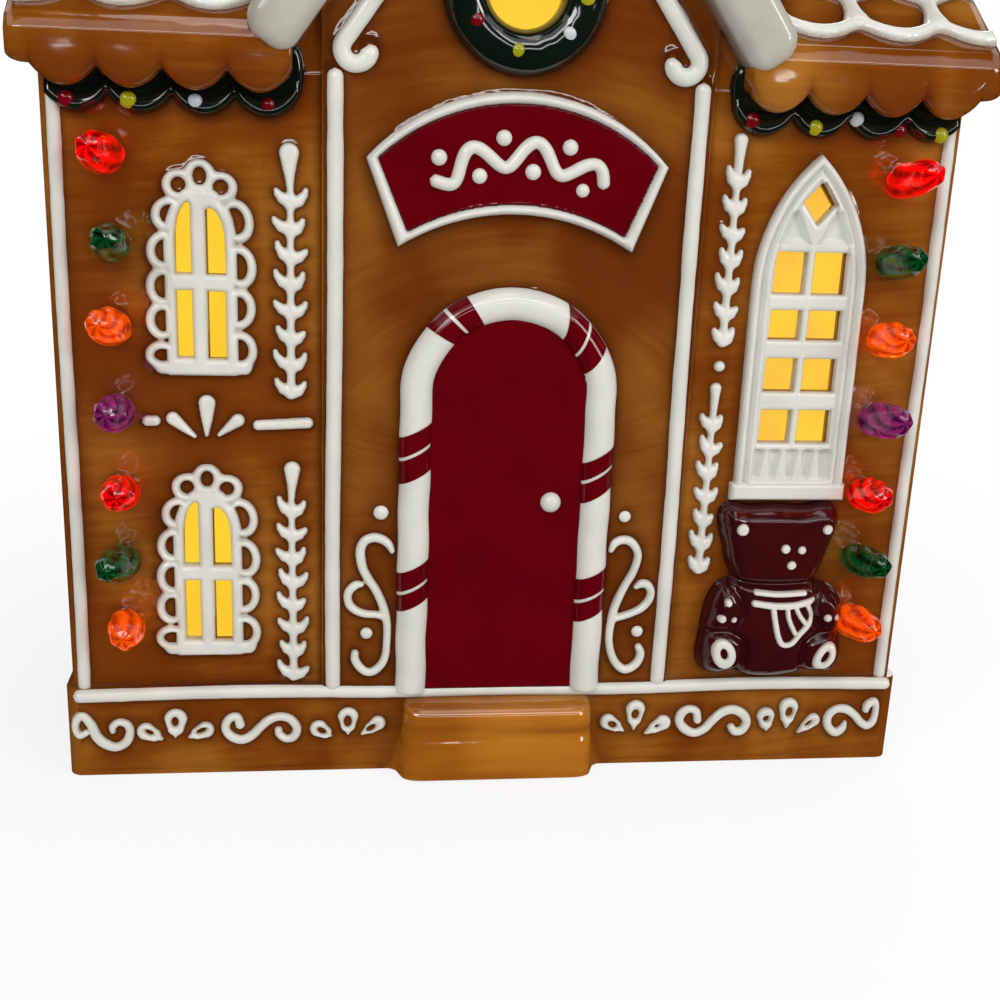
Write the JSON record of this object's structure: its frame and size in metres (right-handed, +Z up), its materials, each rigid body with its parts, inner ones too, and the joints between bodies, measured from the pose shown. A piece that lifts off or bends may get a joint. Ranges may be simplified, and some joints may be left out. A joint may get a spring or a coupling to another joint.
{
  "type": "lit_village_house",
  "caption": "Glazed ceramic village house iced like gingerbread, with glowing windows, twist bulbs, a striped cane doorway, a toy bear and a battery light in its base.",
  "frame": {"origin": "middle of the object's bounding box at the height of the foot rim's rest face", "axes": "X to the right as seen from the front, Y from the front wall to the back wall, Z up; the front faces -Y"},
  "size_m": [0.206, 0.1414, 0.2497],
  "materials": {
    "brown_glaze": "clear brown glaze over stoneware, darker where it pools",
    "amber_glaze": "thin amber glaze",
    "white_glaze": "opaque white glaze, slightly uneven like piped icing",
    "maroon_glaze": "deep maroon glaze",
    "pine_glaze": "near-black green glaze",
    "berry_glaze": "painted berries in red, yellow and white",
    "cocoa_glaze": "dark red-brown glaze",
    "warm_film": "translucent yellow film, lit from behind",
    "red_plastic": "clear red plastic",
    "green_plastic": "clear green plastic",
    "orange_plastic": "clear orange plastic",
    "purple_plastic": "clear purple plastic",
    "case_plastic": "off-white moulded plastic",
    "cell_jacket": "plain dark cell jacket",
    "contact_metal": "nickel plated spring steel",
    "knob_plastic": "black moulded plastic",
    "board_green": "green lacquered circuit board",
    "lamp_resin": "clear lamp resin, warm white",
    "gasket_foam": "pale foam rubber"
  },
  "bodies": {
    "house": {"house_walls": "brown_glaze", "main_roof": "brown_glaze", "gable_roof": "brown_glaze", "door_step": "amber_glaze", "corner_piping": "white_glaze", "base_piping": "white_glaze", "bay_piping": "white_glaze", "barge_board_left": "white_glaze", "barge_board_right": "white_glaze", "roof_icing": "white_glaze", "garland_left": "pine_glaze", "garland_right": "pine_glaze", "garland_berries": "berry_glaze", "wreath": "pine_glaze", "wreath_berries": "berry_glaze", "sign_panel": "maroon_glaze", "sign_border": "white_glaze", "sign_ornament": "white_glaze", "door_panel": "maroon_glaze", "cane_surround": "white_glaze", "cane_stripes": "maroon_glaze", "door_knob": "white_glaze", "lace_window_upper": "white_glaze", "lace_window_lower": "white_glaze", "tall_window": "white_glaze", "film_upper": "warm_film", "film_lower": "warm_film", "film_tall": "warm_film", "film_round": "warm_film", "piped_leaves": "white_glaze", "door_scrolls": "white_glaze", "plinth_scrolls": "white_glaze", "bear": "cocoa_glaze", "bear_icing": "white_glaze", "bulb_left_1": "red_plastic", "bulb_left_2": "green_plastic", "bulb_left_3": "orange_plastic", "bulb_left_4": "purple_plastic", "bulb_left_5": "red_plastic", "bulb_left_6": "green_plastic", "bulb_left_7": "orange_plastic", "bulb_right_1": "red_plastic", "bulb_right_2": "green_plastic", "bulb_right_3": "orange_plastic", "bulb_right_4": "purple_plastic", "bulb_right_5": "red_plastic", "bulb_right_6": "green_plastic", "bulb_right_7": "orange_plastic", "light_base": "case_plastic", "cell_1": "cell_jacket", "cell_2": "cell_jacket", "cell_3": "cell_jacket", "contact_springs": "contact_metal", "contact_plates": "contact_metal", "led_board": "board_green", "led_lamps": "lamp_resin", "case_gasket": "gasket_foam"},
    "battery_door": {"battery_door": "case_plastic"},
    "switch_knob": {"switch_knob": "knob_plastic"}
  },
  "joints": [
    {"name": "battery_door_hinge", "type": "hinge", "parent": "house", "child": "battery_door", "pos_m": [-0.0054, -0.0168, 0.0016], "axis": [-1, 0, 0], "range_deg": [0, 95]},
    {"name": "switch_slide", "type": "slide", "parent": "house", "child": "switch_knob", "axis": [0, 1, 0], "range_m": [-0.0022, 0.0022]}
  ]
}
